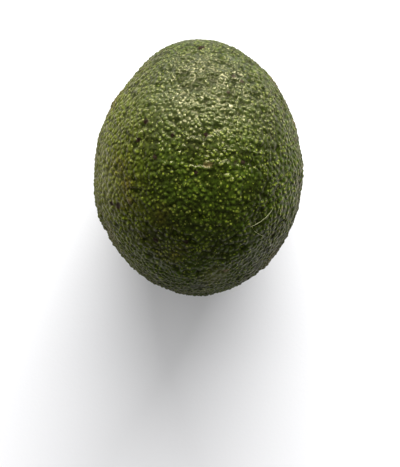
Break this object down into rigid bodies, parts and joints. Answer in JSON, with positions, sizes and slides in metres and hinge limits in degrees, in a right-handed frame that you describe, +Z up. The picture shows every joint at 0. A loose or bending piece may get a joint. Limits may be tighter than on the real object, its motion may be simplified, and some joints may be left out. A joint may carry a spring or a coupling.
{
  "type": "avocado",
  "caption": "Whole egg-shaped avocado lying on its side, with pebbled green skin and a dry stem button in the hollow at its narrow end.",
  "frame": {"origin": "middle of the avocado's footprint box, on the surface that it rests on", "axes": "+Z up; +Y from the blossom end to the stem end, which dips by about 8 degrees; +X to the right, seen from above with the stem end away"},
  "size_m": [0.0702, 0.0856, 0.0683],
  "materials": {
    "rind": "leathery pebbled rind with a thin waxy sheen, mottled green with yellow-green dots",
    "stem": "dry, cracked and matt, like bark"
  },
  "bodies": {
    "root": {"fruit": "rind", "stem_button": "stem"}
  },
  "joints": []
}
